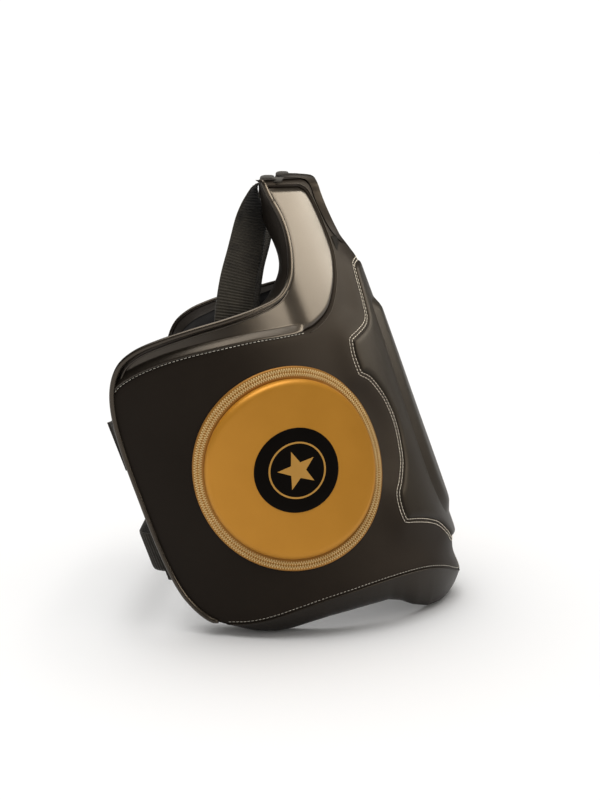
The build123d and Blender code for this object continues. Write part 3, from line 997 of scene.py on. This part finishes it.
for side_name, side in SIDES.items():
    face = disc(
        f"{side_name}_target_face", side, face_profile, GOLD,
        [f"{side_name}_target_face", f"{side_name}_target_foam"], "gold_leather"
    )
    disc(f"{side_name}_target_ring", side, ring_profile, RING, [f"{side_name}_target_ring"], "gold_ring")
    disc(
        f"{side_name}_target_patch", side, patch_profile, PATCH, [f"{side_name}_target_patch"],
        "black_leather", 128
    )
    make(f"{side_name}_target_star", *star(side), PRINT, "vest", slot="gold_leather", smooth_faces=False)
    sewn = [zigzag(side, FACE_R + 3.2, FACE_R + 7.8), zigzag(side, FACE_R + 13.4, FACE_R + 8.6)]
    make(f"{side_name}_target_zigzag", *joined(sewn), GOLD_THREAD, "vest", slot="gold_ring")


# ---------------------------------------------------------------- straps, belts and tapes


def ribbon(sections, width, thick, rib=0.6, rib_pitch=3.8, columns=14):
    """Ribbed webbing from sections of (centre, wide, out) in mm and unit vectors, evenly spaced."""
    centres = np.array([s[0] for s in sections], float)
    wide = np.array([s[1] for s in sections], float)
    out = np.array([s[2] for s in sections], float)
    gaps = np.linalg.norm(np.diff(centres, axis=0), axis=1)
    far = np.concatenate([[0], np.cumsum(gaps)])
    rows = []
    u = np.linspace(-1, 1, columns)
    edge_thin = 1 - 0.35 * np.clip((np.abs(u) - 0.86) / 0.14, 0, 1)
    for k in range(len(centres)):
        wave = rib * math.sin(2 * math.pi * far[k] / rib_pitch)
        if far[k] < 2 or far[-1] - far[k] < 2:
            wave = 0.0
        top = thick / 2 * edge_thin + wave * (np.abs(u) < 0.93)
        bottom = -thick / 2 * edge_thin + wave * (np.abs(u) < 0.93)
        upper = centres[k] + u[:, None] * width / 2 * wide[k] + top[:, None] * out[k]
        lower = centres[k] + u[::-1, None] * width / 2 * wide[k] + bottom[::-1, None] * out[k]
        rows.append(np.concatenate([upper, lower]))
    around = 2 * columns
    points = np.concatenate(rows) * MM
    faces = grid_faces(len(rows), around, wrap_columns=True)
    faces += [tuple(range(around))[::-1], tuple(range((len(rows) - 1) * around, len(rows) * around))]
    return points, flipped(faces)


STRAP_PATH = (
    ((-94.0, 43.4, 573.0), 0.0),
    ((-94.0, 50.0, 567.0), 2.0),
    ((-95.0, 53.0, 548.0), 22.0),
    ((-98.0, 55.0, 523.0), 46.0),
    ((-104.0, 61.0, 488.0), 58.0),
    ((-114.0, 69.0, 450.0), 66.0),
    ((-127.0, 73.0, 410.0), 72.0),
    ((-139.5, 75.0, 360.0), 76.0),
    ((-146.5, 76.0, 312.0), 78.0),
)
LEFT_SWING = (3.0, 30.0)
WEB, WEB_T, PATCH_T, GAP = 50.0, 2.0, 2.0, 0.4
HOOK_TOP = 359.0  # height where a strap's hook patch starts


def strap_sections(side, lift=0.0, start=None):
    keys = np.array([[*p, roll] for p, roll in STRAP_PATH])
    if side < 0:
        share = (keys[0, 2] - keys[:, 2]) / (keys[0, 2] - keys[-1, 2])
        keys[:, 0] += share * LEFT_SWING[0]
        keys[:, 1] += share * LEFT_SWING[1]
    line = smooth(keys, 0.8)
    centres, rolls = line[:, :3].copy(), line[:, 3]
    centres[:, 1] -= MIDDLE_Y
    sections = []
    for c, t, roll in zip(centres, tangents(centres), rolls):
        level = np.array([1.0, 0, 0])
        flat_way = level - t * (t @ level)
        flat_way /= np.linalg.norm(flat_way)
        a = math.radians(roll)
        wide = flat_way * math.cos(a) + np.cross(t, flat_way) * math.sin(a)
        out = np.cross(t, wide)
        centre = c + out * lift
        if side < 0:
            centre, wide, out = centre * [-1, 1, 1], wide * [-1, 1, 1], out * [-1, 1, 1]
        sections.append((centre, wide, out))
    return sections if start is None else [s for s, c in zip(sections, centres) if c[2] < start]


for side_name, side in SIDES.items():
    hook_sections = strap_sections(side, WEB_T / 2 + PATCH_T / 2, HOOK_TOP)
    strap_pieces = (
        ("webbing", ribbon(strap_sections(side), WEB, WEB_T), WEBBING, "webbing"),
        ("hook_patch", ribbon(hook_sections, WEB - 5, PATCH_T - 0.2, 0.0), VELOUR, "hook_loop"),
    )
    for piece, (points, faces), material, slot in strap_pieces:
        name = f"{side_name}_strap_{piece}"
        faces = faces if side > 0 else flipped(faces)
        make(name, points, faces, material, f"{side_name}_strap", [name], slot)


def block(
    name, stations, heights, low_off, high_off, material, body, replaced, slot, corner=5.0, steps=(22, 22)
):
    """A flat pad wrapped on the shell, with rounded corners and a soft edge."""
    s_mid, s_half = sum(stations) / 2, abs(stations[1] - stations[0]) / 2
    z_mid, z_half = sum(heights) / 2, abs(heights[1] - heights[0]) / 2
    u, v = np.meshgrid(np.linspace(-1, 1, steps[0]), np.linspace(-1, 1, steps[1]))
    over_s = np.maximum(np.abs(u) * s_half - (s_half - corner), 0)
    over_z = np.maximum(np.abs(v) * z_half - (z_half - corner), 0)
    reach = np.maximum(over_s, over_z)
    length = np.maximum(np.hypot(over_s, over_z), 1e-6)
    pull = np.where(length > 1e-3, reach / length, 1.0)
    su = np.sign(u) * (np.minimum(np.abs(u) * s_half, s_half - corner) + over_s * pull)
    zv = np.sign(v) * (np.minimum(np.abs(v) * z_half, z_half - corner) + over_z * pull)
    edge = np.clip(1 - (corner - np.minimum(length, corner)) / 1.6, 0, 1)
    top = high_off - (high_off - low_off) * 0.35 * edge**2
    upper = wrap(s_mid + su, z_mid + zv, top).reshape(-1, 3)
    lower = wrap(s_mid + su, z_mid + zv, np.full(su.shape, low_off)).reshape(-1, 3)
    rows, columns = su.shape
    faces = plate_faces(rows, columns)
    count = rows * columns
    faces += [(a, count + a, count + b, b) for a, b in border_pairs(rows, columns)]
    points = np.concatenate([upper, lower])
    return make(name, points, faces, material, body, replaced, slot)


LOOP_AT = {"right": (270, 328), "left": (298, 356)}  # stations of the straps' loop patches
LOOP_Z = (286, 352)
for side_name, side in SIDES.items():
    stations = tuple(side * s for s in LOOP_AT[side_name])
    block(
        f"{side_name}_strap_loop_patch", stations, LOOP_Z, -WALL - PATCH_T, -WALL + 1.2, VELOUR, "vest",
        [f"{side_name}_strap_loop_patch"], "hook_loop"
    )

BELTS = {
    "lower": {"z": 101.0, "foot": 15.0, "bend": 16.0, "bow": 4.0},
    "upper": {"z": 245.0, "foot": 2.0, "bend": 8.0, "bow": 2.0},
}
BELT_LAP, TAB_T, TAB_HALF, TAB_WIDE, PATCH_L, RAIL = 62.0, 5.5, 31.0, 30.0, 58.0, 4.0
TAB_ROWS, TAB_COLUMNS = 60, 14


def plan_point(station):
    """Plan point and heading in degrees of the right half's face."""
    x, y, b, _ = plan(float(station))
    return float(-x), float(y), 90 + math.degrees(b)


def outward(heading):
    return np.array([math.cos(math.radians(heading + 90)), math.sin(math.radians(heading + 90))])


def run_point(point, size, angle, turn, share):
    """Point at a share of a run: an arc of radius size, or a straight of that length if it has no turn."""
    h0, h1 = math.radians(angle), math.radians(angle - turn * share)
    if turn:
        return point + size * np.array([math.sin(h0) - math.sin(h1), math.cos(h1) - math.cos(h0)])
    return point + size * share * np.array([math.cos(h0), math.sin(h0)])


def belt_line(belt):
    """Plan points and outward directions of a belt's middle line."""
    x, y, heading = plan_point(WING_END + TAB_T + GAP + WEB_T / 2)
    out = outward(heading)
    root = np.array([x, y]) - out * WALL / 3
    foot, bend, bow = belt["foot"], belt["bend"], belt["bow"]
    a, b = math.radians(heading), math.radians(bow)
    start_x = root[0] + foot * math.cos(a) + bend * (math.sin(a) - math.sin(b))
    start_y = root[1] + foot * math.sin(a) + bend * (math.cos(b) - math.cos(a))
    lift = 2 * PATCH_T + GAP + WEB_T / 2
    lx, ly, lap_heading = plan_point(WING_END + foot)
    out = outward(lap_heading)
    lap_x, lap_y = -(lx + out[0] * lift), ly + out[1] * lift
    c = math.radians(lap_heading)
    second = (start_y - lap_y) / (math.cos(b) - math.cos(c))
    end_x = lap_x - second * (math.sin(c) - math.sin(b))
    long_radius = (end_x - start_x) / (2 * math.sin(b))
    lap_radius = ARCS[-1][0] + lift
    runs = [
        (foot, 0),
        (bend, heading - bow),
        (long_radius, 2 * bow),
        (second, lap_heading - bow),
        (lap_radius, math.degrees((BELT_LAP + foot) / lap_radius)),
    ]
    points, outs, point, angle = [], [], root, heading
    for size, turn in runs:
        length = size * math.radians(turn) if turn else size
        count = max(3, int(round(length / 0.8)))
        for t in np.linspace(0, 1, count, endpoint=False):
            points.append(run_point(point, size, angle, turn, t))
            outs.append(outward(angle - turn * t))
        point = run_point(point, size, angle, turn, 1.0)
        angle -= turn
    return np.array(points), np.array(outs)


for level, belt in BELTS.items():
    points, outs = belt_line(belt)
    sections = []
    for p, o in zip(points, outs):
        centre = np.array([p[0], p[1] + belt["z"] * TAN - MIDDLE_Y, belt["z"]])
        square = np.array([o[0], o[1], -o[1] * TAN])
        sections.append((centre, np.array([0, TAN, 1.0]), square / np.linalg.norm(square)))
    p, f = ribbon(sections, WEB, WEB_T)
    make(f"{level}_belt_webbing", p, f, WEBBING, f"{level}_belt", [f"{level}_belt_webbing"], "webbing")
    low, high = belt["z"] - WEB / 2, belt["z"] + WEB / 2
    lap = (-(WING_END - PATCH_L), -(WING_END - 3 * RAIL))
    block(
        f"{level}_belt_loop_patch", lap, (low, high), -0.5, PATCH_T, VELOUR, "vest",
        [f"{level}_belt_loop_patch"], "hook_loop"
    )
    block(
        f"{level}_belt_hook_patch", lap, (low + 1, high - 1), PATCH_T + GAP, 2 * PATCH_T + GAP, VELOUR,
        f"{level}_belt", [f"{level}_belt_hook_patch"], "hook_loop"
    )
    offs = np.linspace(-1, -1 - TAB_WIDE, TAB_COLUMNS)
    rows = []
    for thick in (TAB_T, -0.8):
        for z in np.linspace(-TAB_HALF, TAB_HALF, TAB_ROWS):
            station = np.full(TAB_COLUMNS, WING_END + thick - 0.12 * math.sin(z * 2) ** 2)
            rows.append(wrap(station, np.full(TAB_COLUMNS, belt["z"] + z), offs))
    count = TAB_ROWS * TAB_COLUMNS
    tab_faces = plate_faces(TAB_ROWS, TAB_COLUMNS)
    tab_faces += [(a, b, count + b, count + a) for a, b in border_pairs(TAB_ROWS, TAB_COLUMNS)]
    make(
        f"{level}_belt_tab", np.concatenate(rows), tab_faces, WEBBING, "vest", [f"{level}_belt_tab"],
        "webbing"
    )

STRAP_X = 94.0
FOLD_AT, FOLD_SIZE = (33.6, 580.0), (7.4, 3.0)  # middle and half sizes of the anchor's folded end
FOLD_SIDES, FOLD_ROWS = 28, 26
ANCHOR_SIDE = [
    (12.5, 579.1), (30.0, 579.4), (37.5, 579.3), (40.3, 578.0), (41.2, 575.0), (41.2, 564.0),
    (41.1, 554.5)
]
for side_name, side in SIDES.items():
    middle_x = -side * STRAP_X
    line = smooth(ANCHOR_SIDE, 0.8)
    sections = []
    for (y, z), (ty, tz) in zip(line, tangents(line)):
        sections.append(
            (np.array([middle_x, y - MIDDLE_Y, z]), np.array([1.0, 0, 0]), np.array([0, -tz, ty]))
        )
    parts = [ribbon(sections, WEB, 1.8, 0.12)]
    angles = np.arange(FOLD_SIDES) * 2 * math.pi / FOLD_SIDES
    roll_rows = []
    for u in np.linspace(-1, 1, FOLD_ROWS):
        fat = (1 - abs(u) ** 14) ** 0.5 if abs(u) < 1 else 0.25
        y = FOLD_AT[0] + FOLD_SIZE[0] * fat * np.sign(np.cos(angles)) * np.abs(np.cos(angles)) ** 0.55
        z = FOLD_AT[1] + FOLD_SIZE[1] * fat * np.sign(np.sin(angles)) * np.abs(np.sin(angles)) ** 0.55
        x = np.full(FOLD_SIDES, middle_x + u * WEB / 2)
        roll_rows.append(np.stack([x, y - MIDDLE_Y, z], 1) * MM)
    roll_faces = grid_faces(FOLD_ROWS, FOLD_SIDES, wrap_columns=True)
    last_row = (FOLD_ROWS - 1) * FOLD_SIDES
    roll_faces += [tuple(range(FOLD_SIDES))[::-1], tuple(range(last_row, last_row + FOLD_SIDES))]
    parts.append((np.concatenate(roll_rows), roll_faces))
    points, faces = joined(parts)
    reach = np.clip(np.abs(points[:, 0] / MM - middle_x) / (WEB / 2), 0, 1)
    points[:, 2] -= 4.0 * reach**5 * MM * (points[:, 2] > 0.572)
    make(
        f"{side_name}_strap_anchor", points, faces, WEBBING, "vest", [f"{side_name}_strap_anchor"],
        "webbing"
    )

LABEL_S, LABEL_Z = (37.0, 57.2), (480, 503)
block("chest_label", LABEL_S, LABEL_Z, -0.6, 1.1, TAG, "vest", ["chest_label"], "label", 1.5, (16, 18))


# ---------------------------------------------------------------- floor, light and camera

# Strength of the world as the camera, diffuse light and reflections see it
SKY, STUDIO, STUDIO_DARK = 1.1, 0.5, 0.05
LAMP = (1.0, 0.94, 0.82)
FLOOR_HALF = 60
CAMERA_AT = (-1.793, -0.1632, 0.632)
CAMERA_TURN, CAMERA_PITCH = math.radians(5.0), math.radians(11.3)

floor_mesh = bpy.data.meshes.new("floor")
floor_corners = [(x * FLOOR_HALF, y * FLOOR_HALF, 0) for x, y in ((-1, -1), (1, -1), (1, 1), (-1, 1))]
floor_mesh.from_pydata(floor_corners, [], [(0, 1, 2, 3)])
floor = add_object("floor", floor_mesh)
floor_material, _, floor_shader = new_material("floor")
floor_shader.inputs["Base Color"].default_value = (0.93, 0.93, 0.93, 1)
floor_shader.inputs["Roughness"].default_value = 0.9
floor_shader.inputs["Specular IOR Level"].default_value = 0.1
floor_mesh.materials.append(floor_material)

world = bpy.data.worlds.new("studio")
bpy.context.scene.world = world
world.use_nodes = True
sky = world.node_tree
background = sky.nodes["Background"]
background.inputs["Color"].default_value = (1.0, 0.98, 0.95, 1)
rays = sky.nodes.new("ShaderNodeLightPath")
direct = node(sky, "ShaderNodeMapRange", {"To Min": STUDIO, "To Max": SKY})
dim = node(sky, "ShaderNodeMix", {"B": STUDIO_DARK}, data_type="FLOAT")
sky.links.new(rays.outputs["Is Camera Ray"], direct.inputs["Value"])
sky.links.new(rays.outputs["Is Glossy Ray"], dim.inputs["Factor"])
sky.links.new(direct.outputs["Result"], dim.inputs["A"])
sky.links.new(dim.outputs["Result"], background.inputs["Strength"])


def area_light(name, place_at, target, size, power):
    data = bpy.data.lights.new(name, "AREA")
    data.shape = "RECTANGLE"
    data.size, data.size_y = size
    data.energy = power
    data.color = LAMP
    obj = add_object(name, data)
    obj.location = place_at
    obj.rotation_euler = (Vector(target) - Vector(place_at)).to_track_quat("-Z", "Y").to_euler()
    return obj


product = bpy.data.collections.new("product")
front_lit = bpy.data.collections.new("lit_from_the_front")
for obj in bpy.context.scene.objects:
    if obj.type == "MESH" and obj != floor:
        product.objects.link(obj)
        if "target" not in obj.name and "anchor" not in obj.name:
            front_lit.objects.link(obj)
lamps = [
    area_light("overhead", (-0.25, 0.15, 1.9), (-0.1, 0.0, 0.3), (1.5, 1.5), 22),
    area_light("front", (-0.22, -1.3, 1.05), (-0.22, -0.1, 0.6), (2.4, 0.75), 48),
]
for lamp, receivers in zip(lamps, (product, front_lit)):
    lamp.light_linking.receiver_collection = receivers

sun_data = bpy.data.lights.new("sky_panel", "SUN")
sun_data.energy = 2.1
sun_data.angle = math.radians(70)
sun = add_object("sky_panel", sun_data)
sun.rotation_euler = (math.radians(-8), math.radians(6), 0)

camera_data = bpy.data.cameras.new("camera")
camera_data.sensor_fit = "AUTO"
camera_data.sensor_width = 36.0
camera_data.lens = 59.5
camera = add_object("camera", camera_data)
camera.location = CAMERA_AT
level = math.cos(CAMERA_PITCH)
aim = Vector((math.cos(CAMERA_TURN) * level, math.sin(CAMERA_TURN) * level, -math.sin(CAMERA_PITCH)))
camera.rotation_euler = aim.to_track_quat("-Z", "Y").to_euler()
bpy.context.scene.camera = camera
bpy.context.scene.view_settings.view_transform = "Standard"
